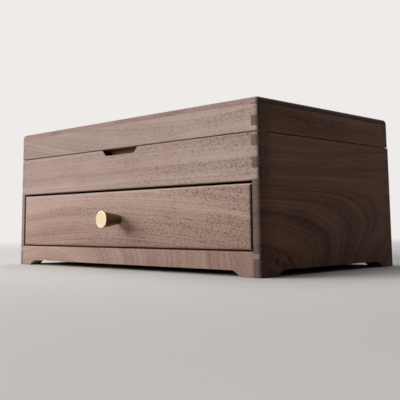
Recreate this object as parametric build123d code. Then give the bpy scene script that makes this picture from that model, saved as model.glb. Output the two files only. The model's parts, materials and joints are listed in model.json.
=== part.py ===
from build123d import *
import os
from math import ceil, cos, floor, radians, sin

# Jewelry box with a drawer, in walnut with brass fittings.
# Millimetres. X runs along the front, Y from front to back, Z up.
# The origin is on the surface that the box stands on, under the middle of the whole
# object, from the face of the knob to the back of the hinges.

# Whole box
box_width = 300.0
box_depth = 177.0
case_height = 100.0  # up to the middle of the seam
lid_height = 24.6
board_thickness = 11.0  # front and back boards
side_thickness = 6.4
corner_radius = 3.0  # upright corners
top_edge_radius = 3.5
edge_ease = 0.5  # edges at the seam and the feet

# Seam between case and lid: both were one box until it was sawn apart
seam_gap = 0.6
lid_set_in = 1.0  # the lid's back face in front of the case's
saw_kerf = 1.2  # wood lost in the cut, so the lid's fingers lie that much lower

# Finger joints at the upright corners
finger_pitch = 7.6
finger_datum = 67.0  # lower end of a front finger
shortest_finger = 1.0
rail_finger_bottom = 12.6  # the one finger at each end of the lower rail
rail_finger_top = 16.1

# Drawer opening in the front
opening_bottom = 17.5
opening_top = 66.2
opening_ease = 1.0

# Finger notch in the upper rail, under the lid
notch_mouth = 46.2
notch_bed = 36.0
notch_depth = 5.1
notch_corner = 3.0
notch_reach = 9.0  # into the rail, whose inner face stays whole

# Arches that leave a foot at each corner
foot_length = 18.0
arch_slope = 7.0
arch_height = 4.5
arch_corner = 8.0

# Panels in grooves
top_thickness = 4.8
bottom_thickness = 6.0
floor_thickness = 4.0
floor_above_opening = 3.0
side_groove = 3.0
board_groove = 5.0
panel_play = 0.5  # room to swell at the end of a groove

# Tray under the lid
lining_thickness = 1.0
lining_gap = 0.2
divider_thickness = 4.0
divider_below_rim = 4.5
dado_depth = 1.5
ring_bay_width = 96.0
ring_roll_count = 6
ring_roll_end_radius = 10.8
ring_roll_end_round = 3.0
ring_roll_flat = 2.4  # cut off below, where a roll lies on the lining
soft_gap = 0.3

# Drawer
drawer_side_gap = 1.4
drawer_top_gap = 2.0
drawer_bottom_gap = 1.0
drawer_run_gap = 0.3  # sides above the case bottom
drawer_back_gap = 0.4
drawer_front_radius = 2.0
drawer_wall = 6.0
drawer_rabbet = 5.0  # how far the sides reach into the front
drawer_wall_drop = 3.0  # walls below the top of the front
drawer_panel_thickness = 3.0
drawer_panel_lift = 3.4
drawer_groove = 3.0
drawer_divider_count = 2
drawer_divider_height = 24.0

# Knob and its screw
knob_length = 18.5
knob_face_radius = 7.0
knob_base_radius = 3.7
knob_edge_radius = 0.4
knob_below_middle = 0.6
knob_screw_radius = 2.0
knob_screw_reach = 8.0  # into the knob
knob_screw_head_radius = 3.8
knob_screw_head_height = 2.4

# Stop hinges
hinge_from_end = 55.0
leaf_length = 34.0
leaf_width = 8.5
leaf_thickness = 2.2
barrel_radius = 2.6
barrel_set_out = 1.2  # barrel axis behind the back face
knuckle_gap = 0.2
turning_gap = 0.3
pin_radius = 1.0
pin_running_gap = 0.05
lid_opening_angle = 95.0
shoulder_reach = 5.2  # from the axis, along the face that stops the lid
shoulder_depth = 5.0  # from the axis, down or up the back
stop_gap = 0.3  # between the shoulders with the lid fully open
leaf_screw_radius = 1.1
leaf_screw_head_radius = 2.1
leaf_screw_head_height = 1.1
leaf_screw_length = 8.0
leaf_screw_spacing = 20.0

# Levels and planes that the pieces share
outer_x = box_width / 2
inner_x = outer_x - side_thickness
half_opening = radians(lid_opening_angle / 2)
hinge_overhang = barrel_set_out + max(barrel_radius, shoulder_reach * cos(half_opening))
front_y = (knob_length - box_depth - hinge_overhang) / 2
back_y = front_y + box_depth
lid_back_y = back_y - lid_set_in
inner_front_y = front_y + board_thickness
inner_back_y = back_y - board_thickness
rim_z = case_height - seam_gap / 2
lid_z = case_height + seam_gap / 2
top_z = case_height + lid_height
ceiling_z = top_z - top_thickness
floor_z = opening_top + floor_above_opening
tray_z = floor_z + floor_thickness + lining_thickness
tray_divider_z = rim_z - divider_below_rim
ring_wall_x = -inner_x + ring_bay_width + divider_thickness / 2
tray_cross_x = (ring_wall_x + divider_thickness / 2 + inner_x) / 2
tray_middle_y = (inner_front_y + inner_back_y) / 2
drawer_x = inner_x - drawer_side_gap
drawer_inner_x = drawer_x - drawer_wall
drawer_top_z = opening_top - drawer_top_gap
drawer_front_z = opening_bottom + drawer_bottom_gap
drawer_wall_z = opening_bottom + drawer_run_gap
drawer_wall_top_z = drawer_top_z - drawer_wall_drop
drawer_panel_z = drawer_wall_z + drawer_panel_lift
drawer_floor_z = drawer_panel_z + drawer_panel_thickness + lining_thickness
drawer_back_y = inner_back_y - drawer_back_gap
drawer_inner_back_y = drawer_back_y - drawer_wall
knob_z = (drawer_front_z + drawer_top_z) / 2 - knob_below_middle
hinge_y = back_y + barrel_set_out

# The zones that the front and back boards take up, front to back
front_zone = (front_y, inner_front_y)
back_zone = (inner_back_y, back_y)
lid_back_zone = (inner_back_y, lid_back_y)

# Gap past a face that a cut goes, so that it leaves no skin
cut_past = 1.0


def block(x_span, y_span, z_span):
    """A straight block between two values on each axis."""
    spans = (x_span, y_span, z_span)
    sizes = [abs(high - low) for low, high in spans]
    corner = [min(span) for span in spans]
    return Pos(*corner) * Box(*sizes, align=(Align.MIN, Align.MIN, Align.MIN))


def rounded_shell(y_span, z_span, lower_radius, upper_radius):
    """The outer form of the case or the lid: what every board is trimmed to."""
    form = block((-outer_x, outer_x), y_span, z_span)
    form = fillet(form.edges().filter_by(Axis.Z), corner_radius)
    form = fillet(form.faces().sort_by(Axis.Z)[0].edges(), lower_radius)
    return fillet(form.faces().sort_by(Axis.Z)[-1].edges(), upper_radius)


def finger_spans(low, high, shift=0.0):
    """Heights of the fingers of a front or back board between two levels."""
    step = 2 * finger_pitch
    start = finger_datum + shift
    spans = []
    for index in range(floor((low - start) / step), ceil((high - start) / step)):
        bottom = max(low, start + index * step)
        top = min(high, start + index * step + finger_pitch)
        if top - bottom > shortest_finger:
            spans.append((bottom, top))
    return spans


def cross_board(y_span, z_span, spans):
    """A front or back board, which reaches the outside only at its fingers."""
    board = block((-inner_x, inner_x), y_span, z_span)
    for span in spans:
        board += block((-outer_x, outer_x), y_span, span)
    return board


def side_board(side, z_span, front_spans, back_spans, rear_zone):
    """A side board with sockets for the fingers of the front and back boards."""
    x_span = (side * inner_x, side * outer_x)
    board = block(x_span, (front_y, rear_zone[1]), z_span)
    for y_span, spans in ((front_zone, front_spans), (rear_zone, back_spans)):
        for span in spans:
            board -= block(x_span, y_span, span)
    return board


def scoop(mouth, bed, depth, corner):
    """Outline of a shallow cut into an edge, with sloping ends and round corners."""
    reach = mouth / 2 + corner
    outline = Polyline(
        (-reach, -cut_past), (-reach, 0), (-mouth / 2, 0), (-bed / 2, depth),
        (bed / 2, depth), (mouth / 2, 0), (reach, 0), (reach, -cut_past), close=True,
    )
    face = make_face(outline)
    corners = [point for point in face.vertices() if abs(point.X) < reach - corner / 2]
    return fillet(corners, corner)


def arch(length, plane):
    """The cut that leaves two feet under boards of this length, right through the box."""
    mouth = length - 2 * foot_length
    outline = scoop(mouth, mouth - 2 * arch_slope, arch_height, arch_corner)
    return extrude(plane * outline, box_width, both=True)


def finger_notch():
    """The blind cut in the upper rail for a fingertip under the lid."""
    outline = scoop(notch_mouth, notch_bed, notch_depth, notch_corner)
    plane = Plane(origin=(0, front_y, rim_z), x_dir=(-1, 0, 0), z_dir=(0, -1, 0))
    return extrude(plane * outline, notch_reach, both=True)


def grooved_panel(z_span, play):
    """A panel held in all four boards, or with no play the space that it needs."""
    x_end = inner_x + side_groove - play
    y_span = (inner_front_y - board_groove + play, inner_back_y + board_groove - play)
    return block((-x_end, x_end), y_span, z_span)


def case_panels():
    """Case bottom that the drawer slides on, and floor of the tray above it."""
    bottom_span = (opening_bottom - bottom_thickness, opening_bottom)
    floor_span = (floor_z, floor_z + floor_thickness)
    spaces = [grooved_panel(bottom_span, 0), grooved_panel(floor_span, 0)]
    pieces = {
        "case_bottom": grooved_panel(bottom_span, panel_play),
        "tray_floor": grooved_panel(floor_span, panel_play),
    }
    return pieces, spaces


def tray_dividers():
    """Wall of the ring bay and two crossing dividers, halved where they cross."""
    z_span = (tray_z, tray_divider_z)
    half_z = (tray_z + tray_divider_z) / 2
    half = divider_thickness / 2
    y_span = (inner_front_y - dado_depth, inner_back_y + dado_depth)
    ring_wall = block((ring_wall_x - half, ring_wall_x + half), y_span, z_span)
    cross = block((tray_cross_x - half, tray_cross_x + half), y_span, z_span)
    long_x = (ring_wall_x + half - dado_depth, inner_x + dado_depth)
    long_y = (tray_middle_y - half, tray_middle_y + half)
    long = block(long_x, long_y, z_span)
    crossing_x = (tray_cross_x - half, tray_cross_x + half)
    return {
        "tray_divider_ring_bay": ring_wall - long,
        "tray_divider_cross": cross - block(crossing_x, long_y, (tray_z, half_z)),
        "tray_divider_long": long - block(crossing_x, long_y, (half_z, tray_divider_z)),
    }


def tray_lining():
    """Felt on the tray floor, with the dividers standing on it."""
    x_end = inner_x - lining_gap
    y_span = (inner_front_y + lining_gap, inner_back_y - lining_gap)
    return block((-x_end, x_end), y_span, (tray_z - lining_thickness, tray_z))


def ring_rolls():
    """Soft rolls side by side in the ring bay, thicker in the middle than at the ends."""
    bay_x = (-inner_x + soft_gap, ring_wall_x - divider_thickness / 2 - soft_gap)
    pitch = (inner_back_y - inner_front_y) / ring_roll_count
    middle_radius = pitch / 2 - soft_gap
    half = (bay_x[1] - bay_x[0]) / 2
    crown = ThreePointArc((-half, ring_roll_end_radius), (0, middle_radius), (half, ring_roll_end_radius))
    outline = crown + Polyline(
        (half, ring_roll_end_radius), (half, 0), (-half, 0), (-half, ring_roll_end_radius)
    )
    profile = make_face(outline)
    rims = [point for point in profile.vertices() if point.Y > ring_roll_end_radius / 2]
    roll = revolve(fillet(rims, ring_roll_end_round), Axis.X)
    flat = middle_radius - ring_roll_flat
    roll -= block((-half, half), (-pitch, pitch), (-pitch, -flat))
    pieces = {}
    for index in range(ring_roll_count):
        place = (sum(bay_x) / 2, inner_front_y + (index + 0.5) * pitch, tray_z + soft_gap + flat)
        pieces[f"ring_roll_{index + 1}"] = Pos(*place) * roll
    return pieces


def hinge_places():
    """X of the middle of each hinge."""
    return {"left": hinge_from_end - outer_x, "right": outer_x - hinge_from_end}


def axis_rod(middle_x, length, radius):
    """A round bar on the hinge axis."""
    return Pos(middle_x, hinge_y, case_height) * Rot(0, 90, 0) * Cylinder(radius, length)


def knuckle_spans():
    """X of the three knuckles of a hinge, from its middle: outer, inner, outer."""
    step = leaf_length / 3
    return [(-1.5 * step + index * step, -0.5 * step + index * step) for index in range(3)]


def stop_shoulder(middle_x, up):
    """Bar behind the barrel. Its sloping face meets the other leaf's when the lid is open."""
    lift = stop_gap / 2 / cos(half_opening)
    far = shoulder_reach * cos(half_opening)
    drop = shoulder_reach * sin(half_opening)
    seat = -barrel_set_out - (lid_set_in if up else 0)
    outline = Polyline(
        (seat, 0), (0, -lift), (far, -drop - lift),
        (far, -shoulder_depth), (seat, -shoulder_depth), close=True,
    )
    plane = Plane(origin=(middle_x, hinge_y, case_height), x_dir=(0, 1, 0), z_dir=(1, 0, 0))
    bar = extrude(plane * make_face(outline), leaf_length / 2, both=True)
    return bar.mirror(Plane.XY.offset(case_height)) if up else bar


def hinge_leaf(middle_x, up):
    """One leaf: the plate let into the board, its knuckles and its stop shoulder.

    The lower leaf, on the case, has the two outer knuckles and holds the pin tight.
    """
    z_span = (lid_z, lid_z + leaf_thickness) if up else (rim_z - leaf_thickness, rim_z)
    x_span = (middle_x - leaf_length / 2, middle_x + leaf_length / 2)
    leaf = block(x_span, (back_y - leaf_width, hinge_y), z_span) + stop_shoulder(middle_x, up)
    own = [1] if up else [0, 2]
    for index, (start, end) in enumerate(knuckle_spans()):
        centre = middle_x + (start + end) / 2
        if index in own:
            leaf += axis_rod(centre, end - start - knuckle_gap, barrel_radius)
        else:
            leaf -= axis_rod(centre, end - start + knuckle_gap, barrel_radius + turning_gap)
    bore = pin_radius + (pin_running_gap if up else 0)
    leaf -= axis_rod(middle_x, leaf_length + cut_past, bore)
    return leaf - leaf_screws(middle_x, up)


def leaf_recess(middle_x, up):
    """What the boards lose to a hinge: a seat for the leaf and room for the barrel."""
    z_span = (lid_z, lid_z + leaf_thickness) if up else (rim_z - leaf_thickness, rim_z)
    x_span = (middle_x - leaf_length / 2, middle_x + leaf_length / 2)
    seat = block(x_span, (back_y - leaf_width, back_y + cut_past), z_span)
    room = axis_rod(middle_x, leaf_length, barrel_radius + turning_gap)
    return seat + room + leaf_screws(middle_x, up)


def leaf_screws(middle_x, up):
    """Two countersunk screws, heads flush with the leaf, into the edge of the board."""
    outline = Polyline(
        (0, 0), (leaf_screw_head_radius, 0), (leaf_screw_radius, -leaf_screw_head_height),
        (leaf_screw_radius, -leaf_screw_length), (0, -leaf_screw_length), close=True,
    )
    screw = revolve(Plane.XZ * make_face(outline), Axis.Z)
    middle_y = back_y - leaf_width / 2
    pair = [
        Pos(middle_x + side * leaf_screw_spacing / 2, middle_y, rim_z) * screw for side in (-1, 1)
    ]
    if up:
        pair = [item.mirror(Plane.XY.offset(case_height)) for item in pair]
    return Compound(children=pair)


def hinges():
    """Leaves, pins and screws of both hinges, and what each board loses to them."""
    pieces = {}
    for name, middle_x in hinge_places().items():
        pieces[f"hinge_case_leaf_{name}"] = hinge_leaf(middle_x, False)
        pieces[f"hinge_lid_leaf_{name}"] = hinge_leaf(middle_x, True)
    middles = list(hinge_places().values())
    pieces["hinge_pins"] = Compound(
        children=[axis_rod(middle_x, leaf_length, pin_radius) for middle_x in middles]
    )
    for part, up in (("case", False), ("lid", True)):
        screws = [item for middle_x in middles for item in leaf_screws(middle_x, up).solids()]
        pieces[f"hinge_{part}_screws"] = Compound(children=screws)
    return pieces


def case_boards(spaces):
    """The five boards around the case, finger-jointed at the corners."""
    shell = rounded_shell((front_y, back_y), (0, rim_z), edge_ease, edge_ease)
    upper_spans = finger_spans(opening_top, rim_z)
    lower_spans = [(rail_finger_bottom, rail_finger_top)]
    back_spans = finger_spans(0, rim_z)
    front_arch = arch(box_width, Plane.XZ)
    side_arch = Pos(0, tray_middle_y, 0) * arch(box_depth, Plane.YZ)

    upper = cross_board(front_zone, (opening_top, rim_z), upper_spans) - finger_notch()
    upper = ease_edge(upper, opening_top)
    lower = cross_board(front_zone, (0, opening_bottom), lower_spans) - front_arch
    lower = ease_edge(lower, opening_bottom)
    back = cross_board(back_zone, (0, rim_z), back_spans) - front_arch
    for middle_x in hinge_places().values():
        back -= leaf_recess(middle_x, False)
    boards = {
        "case_front_upper_rail": upper,
        "case_front_lower_rail": lower,
        "case_back": back,
    }
    for name, side in (("left", -1), ("right", 1)):
        board = side_board(side, (0, rim_z), lower_spans + upper_spans, back_spans, back_zone)
        boards[f"case_side_{name}"] = board - side_arch
    return {name: trim(board, shell, spaces) for name, board in boards.items()}


def ease_edge(board, level):
    """Round the long front edge of a rail along the drawer opening."""
    edges = [
        edge
        for edge in board.edges().filter_by(Axis.X)
        if abs(edge.center().Y - front_y) < edge_ease and abs(edge.center().Z - level) < edge_ease
    ]
    return fillet(edges, opening_ease)


def trim(board, shell, spaces):
    """Cut a board to the outer form and clear the room that other pieces need."""
    board = board & shell
    for space in spaces:
        board -= space
    return board


def lid_boards():
    """The four boards under the top panel, and the panel itself, flush all round."""
    y_span = (front_y, lid_back_y)
    shell = rounded_shell(y_span, (lid_z, top_z), edge_ease, top_edge_radius)
    spans = finger_spans(lid_z, ceiling_z, -saw_kerf)
    z_span = (lid_z, ceiling_z)
    back = cross_board(lid_back_zone, z_span, spans)
    for middle_x in hinge_places().values():
        back -= leaf_recess(middle_x, True)
    boards = {
        "lid_front": cross_board(front_zone, z_span, spans),
        "lid_back": back,
        "lid_side_left": side_board(-1, z_span, spans, spans, lid_back_zone),
        "lid_side_right": side_board(1, z_span, spans, spans, lid_back_zone),
        "lid_top": block((-outer_x, outer_x), y_span, (ceiling_z, top_z)),
    }
    return {name: trim(board, shell, []) for name, board in boards.items()}


def drawer_dividers():
    """Boards across the drawer that part it into equal bays."""
    y_span = (inner_front_y - dado_depth, drawer_inner_back_y + dado_depth)
    z_span = (drawer_floor_z, drawer_floor_z + drawer_divider_height)
    bay = 2 * drawer_inner_x / (drawer_divider_count + 1)
    half = divider_thickness / 2
    pieces = {}
    for index in range(drawer_divider_count):
        middle_x = -drawer_inner_x + (index + 1) * bay
        divider = block((middle_x - half, middle_x + half), y_span, z_span)
        pieces[f"drawer_divider_{index + 1}"] = divider
    return pieces


def knob_and_screw():
    """A round knob that widens away from the drawer, and the screw that holds it."""
    outline = Polyline(
        (0, 0), (knob_base_radius, 0), (knob_face_radius, knob_length), (0, knob_length), close=True
    )
    profile = make_face(outline)
    rim = [point for point in profile.vertices() if point.X > knob_base_radius + knob_edge_radius]
    knob = revolve(fillet(rim, knob_edge_radius), Axis.Y)
    shank_length = board_thickness + knob_screw_reach
    shank = Cylinder(knob_screw_radius, shank_length, align=(Align.CENTER, Align.CENTER, Align.MIN))
    head_place = Pos(0, 0, -knob_screw_head_height)
    head = Cylinder(
        knob_screw_head_radius, knob_screw_head_height, align=(Align.CENTER, Align.CENTER, Align.MIN)
    )
    screw = shank + head_place * head
    knob_seat = Pos(0, front_y, knob_z) * Rot(180, 0, 0)
    screw_seat = Pos(0, inner_front_y, knob_z) * Rot(90, 0, 0)
    screw = screw_seat * screw
    return {"knob": knob_seat * knob - screw, "knob_screw": screw}


def drawer_boards(dividers, screw):
    """Front, sides and back of the drawer, grooved for its bottom panel."""
    walls = (drawer_wall_z, drawer_wall_top_z)
    rabbet_y = inner_front_y - drawer_rabbet
    corner_zone = (drawer_inner_back_y, drawer_back_y)
    spans = finger_spans(*walls)
    back = block((-drawer_inner_x, drawer_inner_x), corner_zone, walls)
    for span in spans:
        back += block((-drawer_x, drawer_x), corner_zone, span)
    boards = {"drawer_back": back}
    for name, side in (("left", -1), ("right", 1)):
        x_span = (side * drawer_inner_x, side * drawer_x)
        board = block(x_span, (rabbet_y, drawer_back_y), walls)
        for span in spans:
            board -= block(x_span, corner_zone, span)
        boards[f"drawer_side_{name}"] = board

    front = block((-drawer_x, drawer_x), front_zone, (drawer_front_z, drawer_top_z))
    front = fillet(front.faces().sort_by(Axis.Y)[0].edges(), drawer_front_radius)
    for side in (-1, 1):
        x_span = (side * drawer_inner_x, side * drawer_x)
        front -= block(x_span, (rabbet_y, inner_front_y), walls)
    boards["drawer_front"] = front - screw

    groove = drawer_panel(0)
    spaces = [groove] + list(dividers.values())
    return {name: trim_drawer(board, spaces) for name, board in boards.items()}


def trim_drawer(board, spaces):
    """Clear the room that the bottom panel and the dividers need in a drawer board."""
    for space in spaces:
        board -= space
    return board


def drawer_panel(play):
    """The drawer's bottom panel, or with no play the groove that it sits in."""
    x_end = drawer_inner_x + drawer_groove - play
    y_span = (inner_front_y - drawer_groove + play, drawer_inner_back_y + drawer_groove - play)
    return block((-x_end, x_end), y_span, (drawer_panel_z, drawer_panel_z + drawer_panel_thickness))


def drawer_lining():
    """Felt on the drawer bottom."""
    x_end = drawer_inner_x - lining_gap
    y_span = (inner_front_y + lining_gap, drawer_inner_back_y - lining_gap)
    return block((-x_end, x_end), y_span, (drawer_floor_z - lining_thickness, drawer_floor_z))


def drawer():
    """Everything that slides out."""
    dividers = drawer_dividers()
    pieces = knob_and_screw()
    pieces.update(drawer_boards(dividers, pieces["knob_screw"]))
    pieces.update(dividers)
    pieces["drawer_bottom"] = drawer_panel(panel_play)
    pieces["drawer_lining"] = drawer_lining()
    return pieces


def whole_box():
    """Every piece of the box by name."""
    panels, spaces = case_panels()
    dividers = tray_dividers()
    pieces = case_boards(spaces + list(dividers.values()))
    pieces.update(panels)
    pieces.update(dividers)
    pieces["tray_lining"] = tray_lining()
    pieces.update(ring_rolls())
    pieces.update(hinges())
    pieces.update(lid_boards())
    pieces.update(drawer())
    return pieces


os.makedirs("parts", exist_ok=True)
for node, shape in whole_box().items():
    export_step(shape, f"parts/{node}.step")
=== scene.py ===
import json
import math
import random

import bmesh
import bpy
from mathutils import Matrix, Vector, noise


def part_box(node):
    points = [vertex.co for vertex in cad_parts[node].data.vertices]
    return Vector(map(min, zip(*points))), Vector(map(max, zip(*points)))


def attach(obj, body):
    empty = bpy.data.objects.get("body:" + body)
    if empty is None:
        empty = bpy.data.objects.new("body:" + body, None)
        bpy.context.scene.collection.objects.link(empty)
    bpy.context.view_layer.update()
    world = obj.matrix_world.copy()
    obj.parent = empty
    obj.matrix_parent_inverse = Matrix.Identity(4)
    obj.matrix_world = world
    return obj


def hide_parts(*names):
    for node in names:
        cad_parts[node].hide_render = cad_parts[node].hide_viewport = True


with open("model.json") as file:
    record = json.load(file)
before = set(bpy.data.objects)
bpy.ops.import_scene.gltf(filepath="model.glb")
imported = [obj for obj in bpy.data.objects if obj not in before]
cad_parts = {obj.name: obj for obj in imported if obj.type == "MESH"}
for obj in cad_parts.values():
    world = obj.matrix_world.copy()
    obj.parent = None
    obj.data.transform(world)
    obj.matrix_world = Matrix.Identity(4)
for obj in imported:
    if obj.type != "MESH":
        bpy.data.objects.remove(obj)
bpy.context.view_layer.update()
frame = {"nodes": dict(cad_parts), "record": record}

# A walnut jewelry box with a drawer, a hinged lid and a brass knob.
# Metres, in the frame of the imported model: X along the front, Y to the back, Z up.

MM = 0.001
PHOTO_SIZE = 400.0
SENSOR = 36.0


# Where things are


def low(node):
    """Lowest corner of a node."""
    return Vector(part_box(node)[0])


def high(node):
    """Highest corner of a node."""
    return Vector(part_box(node)[1])


def body_of(node):
    """The moving body that a node belongs to."""
    bodies = frame["record"]["behaviour"]["bodies"]
    return next(body for body, nodes in bodies.items() if node in nodes)


def separate_solids(node):
    """Lowest and highest corner of each loose solid in a node."""
    solid = bmesh.new()
    solid.from_mesh(frame["nodes"][node].data)
    bmesh.ops.remove_doubles(solid, verts=solid.verts, dist=0.001 * MM)
    boxes = []
    waiting = set(solid.verts)
    while waiting:
        found = [waiting.pop()]
        for vertex in found:
            for edge in vertex.link_edges:
                other = edge.other_vert(vertex)
                if other in waiting:
                    waiting.remove(other)
                    found.append(other)
        spans = list(zip(*(vertex.co for vertex in found)))
        boxes.append((Vector(map(min, spans)), Vector(map(max, spans))))
    solid.free()
    return sorted(boxes, key=lambda box: tuple(box[0]))


near_corner = Vector((high("case_side_right").x, low("case_side_right").y, 0.0))


# Camera, lights and surroundings


def make_camera():
    """The camera at the photograph's place, measured from the box's near corner."""
    focal_pixels = 702.0
    centre_above_middle = 69.5
    from_corner = Vector((304.8, -370.8, 36.4)) * MM
    azimuth, pitch, roll = 44.2, 7.6, -0.54
    data = bpy.data.cameras.new("camera")
    data.sensor_width = SENSOR
    data.lens = focal_pixels / PHOTO_SIZE * SENSOR
    data.shift_y = -centre_above_middle / PHOTO_SIZE
    data.clip_start = 0.01
    data.clip_end = 50.0
    camera = bpy.data.objects.new("camera", data)
    turn = Matrix.Rotation(math.radians(azimuth), 4, "Z")
    tilt = Matrix.Rotation(math.radians(90 + pitch), 4, "X")
    lean = Matrix.Rotation(math.radians(roll), 4, "Z")
    camera.matrix_world = Matrix.Translation(near_corner + from_corner) @ turn @ tilt @ lean
    bpy.context.scene.collection.objects.link(camera)
    bpy.context.scene.camera = camera


def soft_box(name, place, aim, size, power):
    """A square area lamp at a place, aimed at a point."""
    data = bpy.data.lights.new(name, "AREA")
    data.shape = "RECTANGLE"
    data.size, data.size_y = size
    data.energy = power
    lamp = bpy.data.objects.new(name, data)
    lamp.location = place
    lamp.rotation_euler = (Vector(aim) - Vector(place)).to_track_quat("-Z", "Y").to_euler()
    bpy.context.scene.collection.objects.link(lamp)


def make_lights():
    """A large soft window-like lamp ahead and to the left, and a weak one above."""
    middle = (0.0, 0.0, 0.06)
    soft_box("window", (-1.55, -1.6, 0.8), middle, (1.9, 0.8), 51.0)
    soft_box("ceiling", (-0.4, 0.2, 1.6), middle, (1.4, 1.4), 14.0)


class Tree:
    """A short way to write a node tree: each call adds a node and gives its output."""

    def __init__(self, tree):
        self.nodes = tree.nodes
        self.links = tree.links

    def feed(self, socket, value):
        """Link an output to a socket, or set the socket's own value."""
        if isinstance(value, bpy.types.NodeSocket):
            self.links.new(value, socket)
        elif value is not None:
            socket.default_value = value

    def add(self, kind, inputs=(), **settings):
        """A node with settings by name, and inputs by name or number."""
        node = self.nodes.new(kind)
        for name, value in settings.items():
            setattr(node, name, value)
        for name, value in dict(inputs).items():
            self.feed(node.inputs[name], value)
        return node

    def math(self, operation, a, b=None, c=None, clamp=False):
        """A sum on numbers."""
        inputs = {index: value for index, value in enumerate((a, b, c)) if value is not None}
        return self.add("ShaderNodeMath", inputs, operation=operation, use_clamp=clamp).outputs[0]

    def vector(self, operation, a, b=None):
        """A sum on vectors, with a vector result."""
        inputs = {0: a} if b is None else {0: a, 1: b}
        return self.add("ShaderNodeVectorMath", inputs, operation=operation).outputs[0]

    def length(self, vector):
        """How long a vector is."""
        return self.add("ShaderNodeVectorMath", {0: vector}, operation="LENGTH").outputs[1]

    def scaled(self, vector, factor):
        """A vector times a number or an output."""
        inputs = {0: vector, 3: factor}
        return self.add("ShaderNodeVectorMath", inputs, operation="SCALE").outputs[0]

    def parts(self, vector):
        """The three parts of a vector."""
        return self.add("ShaderNodeSeparateXYZ", {0: vector}).outputs

    def join(self, x, y, z):
        """A vector from three parts."""
        return self.add("ShaderNodeCombineXYZ", {0: x, 1: y, 2: z}).outputs[0]

    def noise(self, vector, scale=1.0, detail=2.0, roughness=0.5, distortion=0.0):
        """Noise between 0 and 1."""
        inputs = {"Vector": vector, "Scale": scale, "Detail": detail,
                  "Roughness": roughness, "Distortion": distortion}
        return self.add("ShaderNodeTexNoise", inputs).outputs[0]

    def centred_noise(self, vector, **settings):
        """Noise about 0, from -0.5 to 0.5."""
        return self.math("SUBTRACT", self.noise(vector, **settings), 0.5)

    def cells(self, vector, sizes):
        """A point counted in cells of the given sizes."""
        return self.vector("MULTIPLY", vector, tuple(1 / size for size in sizes))

    def spread(self, value, start, end, low=0.0, high=1.0):
        """A number's range start to end made low to high, smooth and held at both ends."""
        inputs = {"Value": value, "From Min": start, "From Max": end, "To Min": low, "To Max": high}
        node = self.add("ShaderNodeMapRange", inputs, interpolation_type="SMOOTHSTEP")
        return node.outputs[0]

    def mix(self, factor, a, b, blend="MIX"):
        """A colour between two."""
        inputs = {0: factor, 6: a, 7: b}
        node = self.add("ShaderNodeMix", inputs, data_type="RGBA", blend_type=blend)
        return node.outputs[2]

    def bump(self, height, strength, distance):
        """A normal from a height."""
        inputs = {"Height": height, "Strength": strength, "Distance": distance}
        return self.add("ShaderNodeBump", inputs).outputs[0]

    def place(self):
        """A point of the piece in millimetres."""
        coordinates = self.add("ShaderNodeTexCoord").outputs["Object"]
        return self.scaled(coordinates, 1 / MM)


def new_material(name):
    """An empty material and the tree that fills it."""
    material = bpy.data.materials.new(name)
    material.use_nodes = True
    material.node_tree.nodes.clear()
    return material, Tree(material.node_tree)


def finish_material(tree, **inputs):
    """The shader that shows. Inputs by name, with underscores for spaces."""
    named = {name.replace("_", " "): value for name, value in inputs.items()}
    shader = tree.add("ShaderNodeBsdfPrincipled", named)
    output = tree.add("ShaderNodeOutputMaterial")
    tree.links.new(shader.outputs[0], output.inputs[0])
    return shader


def background_ray(tree):
    """1 where the camera, gloss or glass looks, and 0 for the rays that light the object."""
    path = tree.add("ShaderNodeLightPath").outputs
    seen = tree.math("MAXIMUM", path["Is Camera Ray"], path["Is Glossy Ray"])
    return tree.math("MAXIMUM", seen, path["Is Transmission Ray"])


BACKDROP = (0.86, 0.83, 0.81, 1)
FLOOR = (0.8, 0.78, 0.76, 1)


def make_world():
    """Pale where the camera, gloss or glass looks, and a weak even light elsewhere."""
    world = bpy.data.worlds.new("studio")
    world.use_nodes = True
    world.node_tree.nodes.clear()
    tree = Tree(world.node_tree)
    even_light, seen = 0.06, 1.0
    strength = tree.spread(background_ray(tree), 0.0, 1.0, even_light, seen)
    light = tree.add("ShaderNodeBackground", {"Color": BACKDROP, "Strength": strength})
    output = tree.add("ShaderNodeOutputWorld")
    tree.links.new(light.outputs[0], output.inputs[0])
    bpy.context.scene.world = world


def make_floor():
    """A plain pale floor that takes the backdrop's colour far from the box."""
    half = 6.0
    fade_starts, fade_ends = 350.0, 1200.0
    mesh = bpy.data.meshes.new("floor")
    corners = [(-half, -half, 0), (half, -half, 0), (half, half, 0), (-half, half, 0)]
    mesh.from_pydata(corners, [], [(0, 1, 2, 3)])
    floor = bpy.data.objects.new("floor", mesh)
    bpy.context.scene.collection.objects.link(floor)
    material, tree = new_material("floor")
    near = tree.add("ShaderNodeBsdfDiffuse", {"Color": FLOOR})
    far = tree.add("ShaderNodeEmission", {"Color": BACKDROP})
    distance = tree.length(tree.place())
    away = tree.spread(distance, fade_starts, fade_ends)
    factor = tree.math("MULTIPLY", away, background_ray(tree))
    blend = tree.add("ShaderNodeMixShader", {0: factor, 1: near.outputs[0], 2: far.outputs[0]})
    output = tree.add("ShaderNodeOutputMaterial")
    tree.links.new(blend.outputs[0], output.inputs[0])
    mesh.materials.append(material)


# Wood


# How long, wide and thick the patterns in the wood are, in millimetres
SLOW_WANDER = (90, 28, 28)
QUICK_WANDER = (26, 6, 6)
FIBRES = (26, 0.9, 0.9)
PATCHES = (60, 22, 22)
LONG_PORES = (3.6, 0.9, 0.9)
SHORT_PORES = (2.2, 0.6, 0.6)

KNOT_TONE = (0.02, 0.012, 0.009, 1)
DARK_END = (0.02, 0.016, 0.015, 1)


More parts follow.
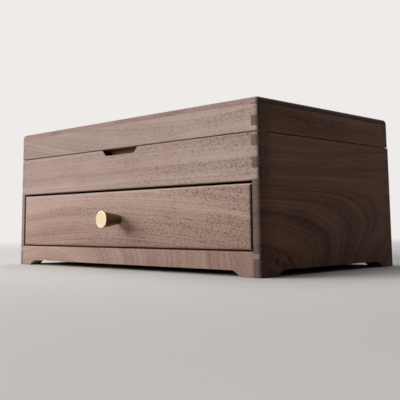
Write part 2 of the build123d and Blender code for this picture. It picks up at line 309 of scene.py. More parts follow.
def straight_fibres(tree, grain, bend):
    """A board's point with its sloping and curving fibres laid straight."""
    along, across, through = tree.parts(grain)
    lean, curl, dive = tree.parts(bend)
    rise = tree.math("MULTIPLY_ADD", curl, tree.math("MULTIPLY", along, 0.5), lean)
    rise = tree.math("MULTIPLY", along, rise)
    straight_across = tree.math("SUBTRACT", across, rise)
    return along, straight_across, tree.math("MULTIPLY_ADD", along, dive, through)


def ring_radius(tree, given, across, seeded):
    """How far a point is from the pith, with the slow and the quick wander of a real trunk."""
    quick_share = 0.09
    along, flat_across, flat_through = tree.parts(given["Grain"])
    pith_along, pith_across, pith_behind = tree.parts(given["Pith"])
    sway = tree.centred_noise(tree.cells(seeded, SLOW_WANDER), detail=1.0)
    shiver = tree.centred_noise(tree.cells(seeded, QUICK_WANDER), detail=2.0)
    wander = tree.math("MULTIPLY", sway, given["Wander"])
    quick = tree.math("MULTIPLY", given["Wander"], quick_share)
    wander = tree.math("MULTIPLY_ADD", shiver, quick, wander)
    side = tree.math("SUBTRACT", across, pith_across)
    lost_slope = tree.math("MULTIPLY", flat_across, given["Level"])
    steep = tree.math("SUBTRACT", 1.0, lost_slope, clamp=True)
    steep = tree.math("MULTIPLY", steep, given["Slope"])
    climb = tree.math("MULTIPLY", tree.math("SUBTRACT", along, pith_along), steep)
    depth = tree.math("SUBTRACT", tree.math("ADD", flat_through, pith_behind), climb)
    squares = tree.math("ADD", tree.math("POWER", side, 2.0), tree.math("POWER", depth, 2.0))
    return tree.math("ADD", tree.math("SQRT", squares), wander)


def pin_knot(tree, given, radius):
    """The radius with a bulge round a pin knot, and how dark the knot is."""
    bulge_reach, bulge_size = 9.0, 3.0
    edge, core, cover = 3.4, 0.8, 0.85
    along, flat_across, _ = tree.parts(given["Grain"])
    knot_along, knot_across, strength = tree.parts(given["Knot"])
    beside = tree.math("SUBTRACT", along, knot_along)
    above = tree.math("SUBTRACT", flat_across, knot_across)
    distance = tree.length(tree.join(beside, above, 0.0))
    bulge = tree.math("MULTIPLY", tree.spread(distance, bulge_reach, 0.0), bulge_size)
    radius = tree.math("MULTIPLY_ADD", bulge, strength, radius)
    return radius, tree.math("MULTIPLY", tree.spread(distance, edge, core, 0.0, cover), strength)


def late_wood(tree, radius, ring_width):
    """0 to 1 through each ring, which are of uneven width and not all as dark."""
    uneven_span, unevenness = 9.0, 2.6
    darkening_starts, darkening_ends = 0.25, 0.93
    fall_starts = 0.95
    palest, darkest, least = 0.25, 0.7, 0.25
    ring_step = 1.7
    uneven = tree.noise(tree.join(tree.math("DIVIDE", radius, uneven_span), 0.0, 0.0), detail=2.0)
    count = tree.math("DIVIDE", radius, ring_width)
    count = tree.math("MULTIPLY_ADD", uneven, unevenness, count)
    turn = tree.math("FRACT", count)
    late = tree.spread(turn, darkening_starts, darkening_ends)
    late = tree.math("MULTIPLY", late, tree.spread(turn, 1.0, fall_starts))
    ring = tree.join(tree.math("FLOOR", count), 0.37, 0.0)
    band = tree.noise(ring, scale=ring_step, detail=0.0)
    return tree.math("MULTIPLY", late, tree.spread(band, palest, darkest, least, 1.0))


def broad_streaks(tree, radius, along, seed):
    """Streaks that follow the rings, over a good part of the board."""
    width, length = 6.5, 260.0
    place = tree.join(tree.math("DIVIDE", radius, width), tree.math("DIVIDE", along, length), 0.0)
    return tree.centred_noise(tree.vector("ADD", place, seed), detail=3.0, roughness=0.6)


def open_pores(tree, given, along, seeded, streak, patch):
    """Short dark dashes along the grain, in two sizes, thicker in the dark streaks."""
    long_starts, long_full = 0.59, 0.68
    short_starts, short_full, short_share = 0.60, 0.70, 0.8
    patch_share = 0.5
    pale, dark = -0.2, 0.2
    fewest, fewest_at_ends = 0.45, 0.15
    long_pores = tree.noise(tree.cells(seeded, LONG_PORES), detail=0.0)
    short_pores = tree.noise(tree.cells(seeded, SHORT_PORES), detail=0.0)
    long_pores = tree.spread(long_pores, long_starts, long_full)
    short_pores = tree.spread(short_pores, short_starts, short_full)
    short_pores = tree.math("MULTIPLY", short_pores, short_share)
    darkness = tree.math("MULTIPLY_ADD", patch, patch_share, streak)
    crowd = tree.spread(darkness, pale, dark, fewest, 1.0)
    drift = tree.math("MULTIPLY_ADD", along, given["Pore drift"], 1.0)
    crowd = tree.math("MULTIPLY", crowd, tree.math("MAXIMUM", drift, fewest_at_ends))
    pores = tree.math("MAXIMUM", long_pores, short_pores)
    return tree.math("MULTIPLY", pores, tree.math("MULTIPLY", crowd, given["Pores"]))


def tone_shift_and_painted_falloff(tree, grain, fade):
    """How the tone shifts evenly along and across the board; the slopes are painted light and shade,
    lighter and darker where the light falls unevenly.
    """
    along, across, _ = tree.parts(grain)
    fade_along, fade_across, fade_base = tree.parts(fade)
    shift = tree.math("MULTIPLY_ADD", along, fade_along, fade_base)
    return tree.math("MULTIPLY_ADD", across, fade_across, shift)


WALNUT_INPUTS = {
    "NodeSocketVector": ("Grain", "Seed", "Bend", "Pith", "Knot", "Fade"),
    "NodeSocketFloat": ("Slope", "Level", "Ring width", "Wander", "Rings", "Streaks", "Pores",
                        "Pore drift", "End"),
    "NodeSocketColor": ("Light", "Dark", "End tone"),
}
WALNUT_OUTPUTS = {
    "Color": "NodeSocketColor",
    "Height": "NodeSocketFloat",
    "Roughness": "NodeSocketFloat",
}


def walnut_group():
    """Walnut as a solid: growth rings round a pith line, fibres, pores and end grain.

    Grain holds a point of the board in millimetres: along the grain from the middle,
    across the board from its lower edge, and through it. Bend holds how the grain slopes
    at the middle, how that changes along the board, and how it dives into the board.
    Pith holds where the pith line passes the board, along and across, and how far behind
    it. Slope is how steeply that line comes up through the board, and Level how much less
    it does so per millimetre across. Knot holds where a pin knot is, along and across, and
    how strong. Fade holds how the tone darkens along and across the board, and by how much
    at the middle of its lower edge; its slopes are painted light and shade, lighter and
    darker where the light falls unevenly.
    """
    group = bpy.data.node_groups.new("walnut", "ShaderNodeTree")
    for kind, names in WALNUT_INPUTS.items():
        for name in names:
            group.interface.new_socket(name, in_out="INPUT", socket_type=kind)
    for name, kind in WALNUT_OUTPUTS.items():
        group.interface.new_socket(name, in_out="OUTPUT", socket_type=kind)

    tree = Tree(group)
    given = tree.add("NodeGroupInput").outputs
    along, across, through = straight_fibres(tree, given["Grain"], given["Bend"])
    seeded = tree.vector("ADD", tree.join(along, across, through), given["Seed"])
    radius = ring_radius(tree, given, across, seeded)
    radius, knot = pin_knot(tree, given, radius)
    late = late_wood(tree, radius, given["Ring width"])
    streak = broad_streaks(tree, radius, along, given["Seed"])
    fibre = tree.centred_noise(tree.cells(seeded, FIBRES), detail=2.0, roughness=0.7)
    patch = tree.centred_noise(tree.cells(seeded, PATCHES), detail=1.0)
    pores = open_pores(tree, given, along, seeded, streak, patch)

    # Tone from 0, light, to 1, dark
    plain_tone, fibre_tone, patch_tone, pore_tone = 0.25, 0.3, 0.25, 0.6
    tone_in_end = 0.6
    # Painted light and shade: the fade's slopes lighten and darken parts of the board where the
    # light falls unevenly
    tone = tree.math("ADD", tone_shift_and_painted_falloff(tree, given["Grain"], given["Fade"]), plain_tone)
    tone = tree.math("MULTIPLY_ADD", late, given["Rings"], tone)
    tone = tree.math("MULTIPLY_ADD", streak, given["Streaks"], tone)
    tone = tree.math("MULTIPLY_ADD", fibre, fibre_tone, tone)
    tone = tree.math("MULTIPLY_ADD", patch, patch_tone, tone)
    tone = tree.math("MULTIPLY_ADD", pores, pore_tone, tone, clamp=True)
    face = tree.mix(tone, given["Light"], given["Dark"])
    face = tree.mix(knot, face, KNOT_TONE)
    cut = tree.mix(tree.math("MULTIPLY", tone, tone_in_end), given["End tone"], DARK_END)

    # Pores are open and rough, and fibres stand up a little
    fibre_height = 0.35
    plain_rough, fibre_rough, pore_rough = 0.52, 0.12, 0.15
    height = tree.math("MULTIPLY_ADD", pores, -1.0, tree.math("MULTIPLY", fibre, fibre_height))
    rough = tree.math("MULTIPLY_ADD", fibre, fibre_rough, plain_rough)
    rough = tree.math("MULTIPLY_ADD", pores, pore_rough, rough)
    output = tree.add("NodeGroupOutput")
    tree.links.new(tree.mix(given["End"], face, cut), output.inputs["Color"])
    tree.links.new(height, output.inputs["Height"])
    tree.links.new(rough, output.inputs["Roughness"])
    return group


# Which way a board's grain, width and thickness run, as axis numbers
ALONG_X_UPRIGHT = (0, 2, 1)
ALONG_Y_UPRIGHT = (1, 2, 0)
ALONG_X_FLAT = (0, 1, 2)

LID_LIGHT = (0.49, 0.366, 0.316, 1)
LID_DARK = (0.275, 0.18, 0.147, 1)
RAIL_LIGHT = (0.5, 0.365, 0.317, 1)
RAIL_DARK = (0.235, 0.147, 0.115, 1)
DRAWER_LIGHT = (0.5, 0.345, 0.288, 1)
DRAWER_DARK = (0.215, 0.12, 0.088, 1)
TOP_LIGHT = (0.42, 0.295, 0.262, 1)
TOP_DARK = (0.2, 0.124, 0.108, 1)
# Painted shade: darker copies of the walnut for the right side boards, which stand in shade; also on
# the bottoms and tray floor. The left side boards take the drawer's tones.
SHADED_WALNUT_PALE = (0.24, 0.125, 0.082, 1)
SHADED_WALNUT_DEEP = (0.035, 0.014, 0.009, 1)
# Painted shade: the front boards' end grain, darkened to the shade it shows in on the right side
SHADED_END_OF_FRONT = (0.055, 0.03, 0.02, 1)
END_OF_TOP = (0.055, 0.03, 0.028, 1)
END_OF_BACK = (0.13, 0.068, 0.045, 1)
END_OF_SIDE = (0.215, 0.152, 0.14, 1)
END_OF_LEFT = (0.33, 0.27, 0.255, 1)
NOTCH_PAINTED_SHADE = (0.5, 0.29, 0.19, 1)  # painted shade that darkens the cut faces inside the notch
PAINTED_EDGE_HIGHLIGHT = (0.72, 0.55, 0.48, 1)  # painted highlight along the drawer's upper edge
PAINTED_CORNER_SHADE = (0.6, 0.54, 0.46, 1)  # painted shade that darkens the side boards towards the front corner

NOTCH = (23.1, 5.1, 9.0)  # half its width, its depth and its reach into the board


def inside_notch(tree, grain, top_edge, half_width, depth, reach):
    """1 on the cut faces of a notch in the middle of a board's upper edge, and 0 elsewhere."""
    ease = 0.4
    face, behind = 0.8, 2.5
    along, across, through = tree.parts(grain)
    between_ends = tree.spread(tree.math("ABSOLUTE", along), half_width + ease, half_width)
    above_floor = tree.spread(across, top_edge - depth - ease, top_edge - depth)
    behind_face = tree.spread(through, face, behind)
    before_wall = tree.spread(through, reach + ease, reach)
    inside = tree.math("MULTIPLY", between_ends, above_floor)
    return tree.math("MULTIPLY", inside, tree.math("MULTIPLY", behind_face, before_wall))


def edge_highlight_band(tree, grain, top_edge, strength):
    """The strength of a painted highlight along a board's upper edge, and 0 elsewhere."""
    starts, full = 1.6, 0.5
    return tree.spread(tree.parts(grain)[1], top_edge - starts, top_edge - full, 0.0, strength)


def corner_shade_band(tree, grain, length, end_grain):
    """1 on the face of a board at its front end, where painted shade darkens it, 0 further back and
    on the end itself.
    """
    reach, full = 20.0, 3.0
    front_end = -length / 2
    near_end = tree.spread(tree.parts(grain)[0], front_end + reach, front_end + full)
    return tree.math("MULTIPLY", near_end, tree.math("SUBTRACT", 1.0, end_grain))


def walnut(group, node, axes, pith, light, dark, end, slope=0.02, level=0.0, bend=(0.0, 0.0, 0.25),
           width=3.2, wander=7.0, rings=0.2, streaks=0.8, pores=0.8, drift=0.0,
           knot=(0.0, 0.0, 0.0), fade=(0.0, 0.0, 0.0), notch=None, edge_highlight=0.0, corner_shade=False,
           gloss=0.06):
    """A board's own walnut. Two boards never share a stretch of grain."""
    face_ends, cut_starts = 0.45, 0.8
    relief, pore_depth = 0.35, 0.12 * MM
    draw = random.Random(node)
    seed = tuple(draw.uniform(-900, 900) for _ in range(3))
    length, top_edge = ((high(node) - low(node))[axis] / MM for axis in axes[:2])
    start = low(node)
    start[axes[0]] = (low(node)[axes[0]] + high(node)[axes[0]]) / 2
    material, tree = new_material("walnut_" + node)
    parts = tree.parts(tree.vector("SUBTRACT", tree.place(), tuple(start / MM)))
    grain = tree.join(*(parts[axis] for axis in axes))
    normal = tree.add("ShaderNodeTexCoord").outputs["Normal"]
    facing = tree.math("ABSOLUTE", tree.parts(normal)[axes[0]])
    end_grain = tree.spread(facing, face_ends, cut_starts)
    inputs = {
        "Grain": grain, "Seed": seed, "Bend": bend, "Pith": pith, "Slope": slope, "Level": level,
        "Ring width": width, "Wander": wander, "Rings": rings, "Streaks": streaks,
        "Pores": pores, "Pore drift": drift, "Knot": knot, "Fade": fade,
        "End": end_grain, "Light": light, "Dark": dark, "End tone": end,
    }
    wood = tree.add("ShaderNodeGroup", node_tree=group)
    for key, value in inputs.items():
        tree.feed(wood.inputs[key], value)
    colour = wood.outputs["Color"]
    # Painted shade: a tint darkens the cut faces inside the notch
    if notch:
        inside = inside_notch(tree, grain, top_edge, *notch)
        colour = tree.mix(inside, colour, NOTCH_PAINTED_SHADE, blend="MULTIPLY")
    # Painted highlight: a paler band along the board's upper edge
    if edge_highlight:
        colour = tree.mix(edge_highlight_band(tree, grain, top_edge, edge_highlight), colour, PAINTED_EDGE_HIGHLIGHT)
    # Painted shade: the face darkens towards its front end, by the box's front corner
    if corner_shade:
        face = corner_shade_band(tree, grain, length, end_grain)
        colour = tree.mix(face, colour, PAINTED_CORNER_SHADE, blend="MULTIPLY")
    finish_material(
        tree,
        Base_Color=colour,
        Roughness=wood.outputs["Roughness"],
        Specular_IOR_Level=gloss,
        Normal=tree.bump(wood.outputs["Height"], relief, pore_depth),
    )
    return material


def dress(node, material):
    """Put a material on a CAD node."""
    mesh = frame["nodes"][node].data
    mesh.materials.clear()
    mesh.materials.append(material)
    for polygon in mesh.polygons:
        polygon.material_index = 0


def dress_wood():
    """Walnut on every board, each cut from its own part of the trunk."""
    group = walnut_group()
    lid = dict(light=LID_LIGHT, dark=LID_DARK, end=SHADED_END_OF_FRONT, gloss=0.12)
    front = dict(light=RAIL_LIGHT, dark=RAIL_DARK, end=SHADED_END_OF_FRONT, gloss=0.12)
    back = dict(light=RAIL_LIGHT, dark=RAIL_DARK, end=END_OF_BACK)
    drawer = dict(light=DRAWER_LIGHT, dark=DRAWER_DARK, end=SHADED_END_OF_FRONT, gloss=0.12)
    # painted shade: the right side boards and the bottoms take the darkened walnut
    side = dict(light=SHADED_WALNUT_PALE, dark=SHADED_WALNUT_DEEP, end=END_OF_SIDE)
    left = dict(light=DRAWER_LIGHT, dark=DRAWER_DARK, end=END_OF_LEFT, gloss=0.15)
    top = dict(light=TOP_LIGHT, dark=TOP_DARK, end=END_OF_TOP)
    # The fade slopes below are painted light and shade: the boards lighter or darker where the light
    # falls unevenly.
    boards = {
        "lid_front": dict(
            axes=ALONG_X_UPRIGHT, pith=(0.0, -60.0, 40.0), bend=(-0.1, 0.001, 0.35),
            wander=3.5, drift=0.005, rings=0.25, pores=0.7, fade=(-0.0018, -0.005, 0.17), **lid),
        "case_front_upper_rail": dict(
            axes=ALONG_X_UPRIGHT, pith=(0.0, -150.0, 50.0), bend=(0.0, 0.0, 0.45),
            wander=2.5, drift=0.004, pores=0.9, fade=(-0.0006, 0.0055, -0.12),
            notch=NOTCH, **front),
        "drawer_front": dict(
            axes=ALONG_X_UPRIGHT, pith=(0.0, -140.0, 50.0), bend=(-0.03, -0.0009, 0.3),
            width=2.4, wander=2.5, rings=0.24, drift=0.0035, pores=0.95, streaks=1.1,
            fade=(0.0006, -0.009, 0.22), edge_highlight=0.8, **drawer),
        "case_front_lower_rail": dict(
            axes=ALONG_X_UPRIGHT, pith=(-125.0, 0.0, 0.0), slope=0.4, bend=(0.09, 0.0, 0.1),
            width=2.8, wander=4.0, rings=0.26, pores=0.4, fade=(0.0014, 0.0, 0.1), **drawer),
        "lid_top": dict(axes=ALONG_X_FLAT, pith=(40.0, 60.0, 25.0), slope=0.06, rings=0.3, **top),
        "case_back": dict(axes=ALONG_X_UPRIGHT, pith=(0.0, 20.0, 60.0), slope=0.1, **back),
        "lid_back": dict(axes=ALONG_X_UPRIGHT, pith=(0.0, 20.0, 60.0), slope=0.1, **back),
        "case_side_right": dict(
            axes=ALONG_Y_UPRIGHT, pith=(-128.0, -10.0, 0.0), slope=0.55, level=0.009,
            bend=(0.06, 0.0007, 0.1), width=3.6, wander=6.0, rings=0.26, streaks=1.05, pores=0.38,
            knot=(-70.5, 10.9, 1.0), fade=(0.0, -0.002, 0.2), corner_shade=True, **side),
        "case_side_left": dict(
            axes=ALONG_Y_UPRIGHT, pith=(40.0, 30.0, 6.0), slope=0.25, width=4.0, wander=9.0, **left),
        "lid_side_right": dict(
            axes=ALONG_Y_UPRIGHT, pith=(0.0, -90.0, 30.0), wander=5.0, streaks=1.35, pores=0.38,
            bend=(-0.05, 0.0, 0.1), corner_shade=True, **side),
        "lid_side_left": dict(axes=ALONG_Y_UPRIGHT, pith=(0.0, -90.0, 30.0), **left),
        "drawer_side_left": dict(axes=ALONG_Y_UPRIGHT, pith=(0.0, -80.0, 30.0), **front),
        "drawer_side_right": dict(axes=ALONG_Y_UPRIGHT, pith=(0.0, -70.0, 30.0), **front),
        "drawer_back": dict(axes=ALONG_X_UPRIGHT, pith=(0.0, -80.0, 30.0), **front),
        "drawer_bottom": dict(axes=ALONG_X_FLAT, pith=(0.0, 80.0, 30.0), **side),
        "case_bottom": dict(axes=ALONG_X_FLAT, pith=(0.0, 30.0, 30.0), **side),
        "tray_floor": dict(axes=ALONG_X_FLAT, pith=(0.0, 30.0, 30.0), **side),
        "tray_divider_long": dict(axes=ALONG_X_UPRIGHT, pith=(0.0, -60.0, 30.0), **front),
        "tray_divider_cross": dict(axes=ALONG_Y_UPRIGHT, pith=(0.0, -50.0, 30.0), **front),
        "tray_divider_ring_bay": dict(axes=ALONG_Y_UPRIGHT, pith=(0.0, -70.0, 30.0), **front),
        "drawer_divider_1": dict(axes=ALONG_Y_UPRIGHT, pith=(0.0, -70.0, 30.0), **front),
        "drawer_divider_2": dict(axes=ALONG_Y_UPRIGHT, pith=(0.0, -65.0, 30.0), **front),
    }
    for node, grain in boards.items():
        dress(node, walnut(group, node, **grain))


# Brass and cloth


# The two tones between which each varies
BRIGHT_BRASS = (0.93, 0.77, 0.49, 1), (0.96, 0.81, 0.55, 1)
# Patina, darkened further as a painted dark reflection on the knob's turned side
AGED_AND_SHADED_BRASS = (0.15, 0.103, 0.042, 1), (0.2, 0.145, 0.065, 1)
FELT = (0.045, 0.042, 0.042, 1), (0.13, 0.122, 0.12, 1)
VELVET = (0.055, 0.048, 0.047, 1), (0.15, 0.135, 0.13, 1)


def brass(name, centre, turned=0.0):
    """Brass that has aged, darkened further as a painted dark reflection, except on its faces across
    Y, with lines turned round a line along Y.
    """
    aged_ends, bright_starts = 0.84, 0.98
    least_rough, most_rough, line_rough, smoothing = 0.32, 0.4, 0.08, -0.24
    line_depth = 0.03 * MM
    material, tree = new_material(name)
    from_centre = tree.vector("SUBTRACT", tree.place(), tuple(centre / MM))
    flat = tree.vector("MULTIPLY", from_centre, (1, 0, 1))
    depth = tree.parts(from_centre)[1]
    line_place = tree.join(tree.length(flat), depth, 0.0)
    lines = tree.noise(line_place, scale=9.0, detail=1.0)
    worn = tree.noise(tree.place(), scale=0.35, detail=3.0)
    bright = tree.mix(worn, *BRIGHT_BRASS)
    aged_and_shaded = tree.mix(worn, *AGED_AND_SHADED_BRASS)
    normal = tree.add("ShaderNodeTexCoord").outputs["Normal"]
    facing = tree.math("ABSOLUTE", tree.parts(normal)[1])
    polished = tree.spread(facing, aged_ends, bright_starts)
    rough = tree.spread(worn, 0.3, 0.7, least_rough, most_rough)
    rough = tree.math("MULTIPLY_ADD", lines, line_rough, rough)
    finish_material(
        tree,
        Base_Color=tree.mix(polished, aged_and_shaded, bright),
        Metallic=1.0,
        Roughness=tree.math("MULTIPLY_ADD", polished, smoothing, rough),
        Normal=tree.bump(lines, turned, line_depth),
    )
    return material


def felt():
    """Short matted wool in dark grey."""
    mat_share, cloud_share = 0.8, 0.3
    material, tree = new_material("felt")
    mat = tree.noise(tree.place(), scale=1.6, detail=4.0, roughness=0.7)
    cloud = tree.noise(tree.place(), scale=0.05, detail=2.0)
    mat_tone = tree.math("MULTIPLY", mat, mat_share)
    tone = tree.math("ADD", mat_tone, tree.math("MULTIPLY", cloud, cloud_share))
    finish_material(
        tree,
        Base_Color=tree.mix(tone, *FELT),
        Roughness=0.95,
        Sheen_Weight=0.35,
        Sheen_Roughness=0.5,
        Normal=tree.bump(mat, 0.6, 0.0004),
    )
    return material


def velvet():
    """Short upright pile in grey, brushed lighter and darker in patches."""
    brushed_share, pile_share = 0.9, 0.25
    material, tree = new_material("velvet")
    pile = tree.noise(tree.place(), scale=3.2, detail=2.0, roughness=0.6)
    brushed = tree.noise(tree.place(), scale=0.07, detail=2.0, distortion=1.0)
    pile_tone = tree.math("MULTIPLY", pile, pile_share)
    tone = tree.math("MULTIPLY_ADD", brushed, brushed_share, pile_tone, clamp=True)
    finish_material(
        tree,
        Base_Color=tree.mix(tone, *VELVET),
        Roughness=0.9,
        Sheen_Weight=0.8,
        Sheen_Roughness=0.35,
        Normal=tree.bump(pile, 0.5, 0.0003),
    )
    return material


# Pieces made here


def add_piece(name, mesh, material, slot, *nodes):
    """A piece in place of CAD nodes of one body."""
    piece = bpy.data.objects.new(name, mesh)
    bpy.context.scene.collection.objects.link(piece)
    mesh.materials.clear()
    mesh.materials.append(material)
    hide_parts(*nodes)
    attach(piece, body_of(nodes[0]))
    return piece


def shade_smooth(mesh):
    """Smooth shading on every face."""
    for polygon in mesh.polygons:
        polygon.use_smooth = True


def turned_shape(profile, steps):
    """A closed solid turned round Z from (radius, height) points, the end ones on the axis."""
    solid = bmesh.new()
    first, last = (solid.verts.new((0, 0, height)) for _, height in (profile[0], profile[-1]))
    rings = []
    for radius, height in profile[1:-1]:
        angles = [math.tau * step / steps for step in range(steps)]
        circle = [(radius * math.cos(angle), radius * math.sin(angle), height) for angle in angles]
        rings.append([solid.verts.new(point) for point in circle])
    for step in range(steps):
        after = (step + 1) % steps
        solid.faces.new((first, rings[0][after], rings[0][step]))
        solid.faces.new((last, rings[-1][step], rings[-1][after]))
        for inner, outer in zip(rings, rings[1:]):
            solid.faces.new((inner[step], inner[after], outer[after], outer[step]))
    bmesh.ops.recalc_face_normals(solid, faces=solid.faces)
    return solid


def make_knob():
    """The knob, turned as one piece: a cone that widens outwards to a faintly dished face."""
    base_radius = 3.7 * MM
    edge = 0.3 * MM
    dish = 0.12 * MM
    foot_ease = 0.2 * MM
    body_steps, edge_steps, turned_steps = 12, 8, 96
    dish_shares = (0.9, 0.75, 0.5, 0.25)
    lowest, highest = low("knob"), high("knob")
    face_radius = (highest.x - lowest.x) / 2
    length = highest.y - lowest.y
    profile = [(0.0, 0.0), (base_radius - foot_ease, 0.0), (base_radius, foot_ease)]
    for step in range(1, body_steps):
        share = step / body_steps
        profile.append((base_radius + (face_radius - base_radius) * share, length * share))
    for step in range(edge_steps + 1):
        angle = math.radians(90 * step / edge_steps)
        out, up = edge * math.cos(angle), edge * math.sin(angle)
        profile.append((face_radius - edge + out, length - edge + up))
    for share in dish_shares:
        profile.append(((face_radius - edge) * share, length - dish * (1 - share * share)))
    profile.append((0.0, length - dish))
    solid = turned_shape(profile, turned_steps)
    middle = Vector(((lowest.x + highest.x) / 2, highest.y, (lowest.z + highest.z) / 2))
    seat = Matrix.Translation(middle) @ Matrix.Rotation(math.radians(90), 4, "X")
    bmesh.ops.transform(solid, matrix=seat, verts=solid.verts)
    mesh = bpy.data.meshes.new("turned_knob")
    solid.to_mesh(mesh)
    solid.free()
    shade_smooth(mesh)
    add_piece("turned_knob", mesh, brass("brass_turned", middle, 0.25), "brass", "knob")


def baked(piece):
    """The piece's mesh with its modifiers applied."""
    graph = bpy.context.evaluated_depsgraph_get()
    mesh = bpy.data.meshes.new_from_object(piece.evaluated_get(graph), depsgraph=graph)
    piece.modifiers.clear()
    piece.data = mesh
    return mesh


def loose_object(name, solid):
    """An object in the scene from a solid, which is freed."""
    mesh = bpy.data.meshes.new(name)
    solid.to_mesh(mesh)
    solid.free()
    piece = bpy.data.objects.new(name, mesh)
    bpy.context.scene.collection.objects.link(piece)
    return piece


def slotted_screw(radius, length):
    """A countersunk screw with its head up at height 0, and a slot cut across the head."""
    shank = radius * 0.52
    sink = radius * 0.52
    slot_width = radius * 0.26
    slot_depth = radius * 0.3
    ease = radius * 0.04
    profile = [(0.0, 0.0), (radius - ease, 0.0), (radius, -ease), (shank, -sink),
               (shank, -length), (0.0, -length)]
    blank = loose_object("screw_blank", turned_shape(profile, steps=40))
    saw = bmesh.new()
    saw_size = Matrix.Diagonal((slot_width, 3 * radius, 2 * slot_depth, 1.0))
    bmesh.ops.create_cube(saw, size=1.0, matrix=saw_size)
    cutter = loose_object("slot_cutter", saw)
    slot = blank.modifiers.new("slot", "BOOLEAN")
    slot.operation = "DIFFERENCE"
    slot.object = cutter
    mesh = baked(blank)
    bpy.data.objects.remove(blank)
    bpy.data.objects.remove(cutter)
    return mesh


def make_screws(node, metal, facing_down):
    """Slotted screws where the node's plain ones are, each turned to its own angle."""
    draw = random.Random(node)
    solid = bmesh.new()
    for lowest, highest in separate_solids(node):
        radius = (highest.x - lowest.x) / 2
        shape = slotted_screw(radius, highest.z - lowest.z)
        middle = (lowest + highest) / 2
        middle.z = lowest.z if facing_down else highest.z
        flip = Matrix.Rotation(math.pi if facing_down else 0.0, 4, "X")
        turn = Matrix.Rotation(draw.uniform(0, math.pi), 4, "Z")
        shape.transform(Matrix.Translation(middle) @ flip @ turn)
        solid.from_mesh(shape)
    mesh = bpy.data.meshes.new("slotted_" + node)
    solid.to_mesh(mesh)
    solid.free()
    add_piece("slotted_" + node, mesh, metal, "brass", node)


def make_lining(node, cloth):
    """Felt glued down: a thin closed slab with soft edges and a faintly uneven top."""
    cell = 4 * MM
    soft_edge = 0.5 * MM
    unevenness = 0.12 * MM
    hollow_span = 9 * MM
    lowest, highest = low(node), high(node)
    size = highest - lowest
    counts = [max(2, round(size[axis] / cell)) for axis in (0, 1)]
    solid = bmesh.new()

    def point(column, row, top):
        """A grid point on the top or the underside."""
        x = lowest.x + size.x * column / counts[0]
        y = lowest.y + size.y * row / counts[1]
        at_edge = column in (0, counts[0]) or row in (0, counts[1])
        z = lowest.z
        if top:
            z = highest.z - (soft_edge if at_edge else 0.0)
            z -= unevenness * (0.5 + 0.5 * noise.noise(Vector((x, y, 0)) / hollow_span))
        return solid.verts.new((x, y, z))

    sheets = [[[point(column, row, top) for row in range(counts[1] + 1)]
               for column in range(counts[0] + 1)] for top in (False, True)]
    for grid in sheets:
        for column in range(counts[0]):
            for row in range(counts[1]):
                solid.faces.new((grid[column][row], grid[column + 1][row],
                                 grid[column + 1][row + 1], grid[column][row + 1]))
    lower, upper = sheets
    rim = [(column, 0) for column in range(counts[0])]
    rim += [(counts[0], row) for row in range(counts[1])]
    rim += [(column, counts[1]) for column in range(counts[0], 0, -1)]
    rim += [(0, row) for row in range(counts[1], 0, -1)]
    for (a, b), (c, d) in zip(rim, rim[1:] + rim[:1]):
        solid.faces.new((lower[a][b], lower[c][d], upper[c][d], upper[a][b]))
    bmesh.ops.recalc_face_normals(solid, faces=solid.faces)
    mesh = bpy.data.meshes.new("felt_" + node)
    solid.to_mesh(mesh)
    solid.free()
    shade_smooth(mesh)
    piece = add_piece("felt_" + node, mesh, cloth, "felt", node)


def roll_blank(node):
    """A roll before it is filled: a crowned rod, flat below, drawn in at its ends."""
    slack = 0.93
    length_share = 0.985
    end_pull = 0.05
    end_power = 9
    flat_share = 0.86
    unevenness = 0.02
    uneven_span = 14 * MM
    weld = 0.05 * MM
    sections, steps = 34, 28
    lowest, highest = low(node), high(node)
    middle = (lowest + highest) / 2
    half = (highest - lowest) / 2
    draw = random.Random(node)
    shift = Vector([draw.uniform(-9, 9) for _ in range(3)])
    solid = bmesh.new()
    rings = []
    for section in range(sections + 1):
        share = 2 * section / sections - 1
        round_off = (1 - abs(share) ** end_power) ** 0.5
        pull = 1 - end_pull * share * share
        ring = []
        for step in range(steps):
            angle = math.tau * step / steps
            y = half.y * slack * round_off * pull * math.cos(angle)
            z = half.z * slack * round_off * pull * math.sin(angle)
            z = max(z, -half.z * flat_share)
            place = Vector((share * half.x * length_share, y, z))
            swell = 1 + unevenness * noise.noise(place / uneven_span + shift)
            point = Vector((place.x, place.y * swell, place.z * swell))
            ring.append(solid.verts.new(middle + point))
        rings.append(ring)
    for inner, outer in zip(rings, rings[1:]):
        for step in range(steps):
            after = (step + 1) % steps
            solid.faces.new((inner[step], inner[after], outer[after], outer[step]))
    solid.faces.new(rings[0])
    solid.faces.new(rings[-1])
    bmesh.ops.remove_doubles(solid, verts=solid.verts, dist=weld)
    bmesh.ops.recalc_face_normals(solid, faces=solid.faces)
    mesh = bpy.data.meshes.new("velvet_" + node)
    solid.to_mesh(mesh)
    solid.free()
    return mesh


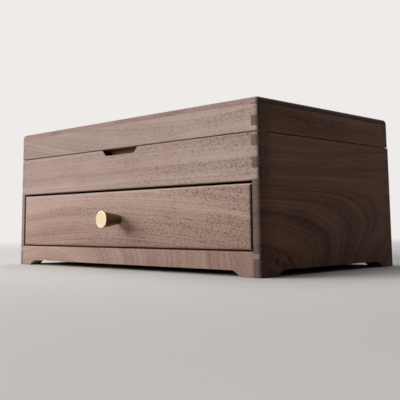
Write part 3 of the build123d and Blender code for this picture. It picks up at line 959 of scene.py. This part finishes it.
def fill_with_cloth(pieces):
    """Blow the blanks up, all in one run of the cloth simulation."""
    cell = 3 * MM
    pressure = 4.0
    last_frame = 20
    scene = bpy.context.scene
    for piece in pieces:
        remesh = piece.modifiers.new("remesh", "REMESH")
        remesh.mode = "VOXEL"
        remesh.voxel_size = cell
        baked(piece)
    for piece in pieces:
        cloth = piece.modifiers.new("cloth", "CLOTH").settings
        cloth.effector_weights.gravity = 0.0
        cloth.use_pressure = True
        cloth.uniform_pressure_force = pressure
        cloth.quality = 6
        cloth.mass = 0.2
    for number in range(1, last_frame + 1):
        scene.frame_set(number)
    for piece in pieces:
        baked(piece)
    scene.frame_set(1)


def hold_in(piece, node):
    """Keep a filled roll inside the space of its CAD solid, and flat where it lies."""
    lowest, highest = low(node), high(node)
    for vertex in piece.data.vertices:
        for axis in range(3):
            vertex.co[axis] = min(max(vertex.co[axis], lowest[axis]), highest[axis])


def make_rolls(cloth):
    """Foam rods wrapped in velvet, side by side, that rings are pushed between."""
    nodes = sorted(node for node in frame["nodes"] if node.startswith("ring_roll"))
    pieces = []
    for node in nodes:
        piece = add_piece("velvet_" + node, roll_blank(node), cloth, "velvet", node)
        pieces.append(piece)
    fill_with_cloth(pieces)
    for piece, node in zip(pieces, nodes):
        hold_in(piece, node)
        smooth = piece.modifiers.new("smooth", "SUBSURF")
        smooth.levels = smooth.render_levels = 1
        baked(piece)
        shade_smooth(piece.data)
        piece.data.materials.clear()
        piece.data.materials.append(cloth)


def make_small_pieces():
    """Knob, screws, linings and rolls, and brass on the hinges."""
    make_knob()
    metal = brass("brass", (low("hinge_pins") + high("hinge_pins")) / 2)
    make_screws("hinge_case_screws", metal, facing_down=False)
    make_screws("hinge_lid_screws", metal, facing_down=True)
    for node in frame["nodes"]:
        if "leaf" in node or node in ("hinge_pins", "knob_screw"):
            dress(node, metal)
    cloth = felt()
    make_lining("tray_lining", cloth)
    make_lining("drawer_lining", cloth)
    make_rolls(velvet())


bpy.context.scene.view_settings.view_transform = "Standard"
make_camera()
make_lights()
make_world()
make_floor()
dress_wood()
make_small_pieces()
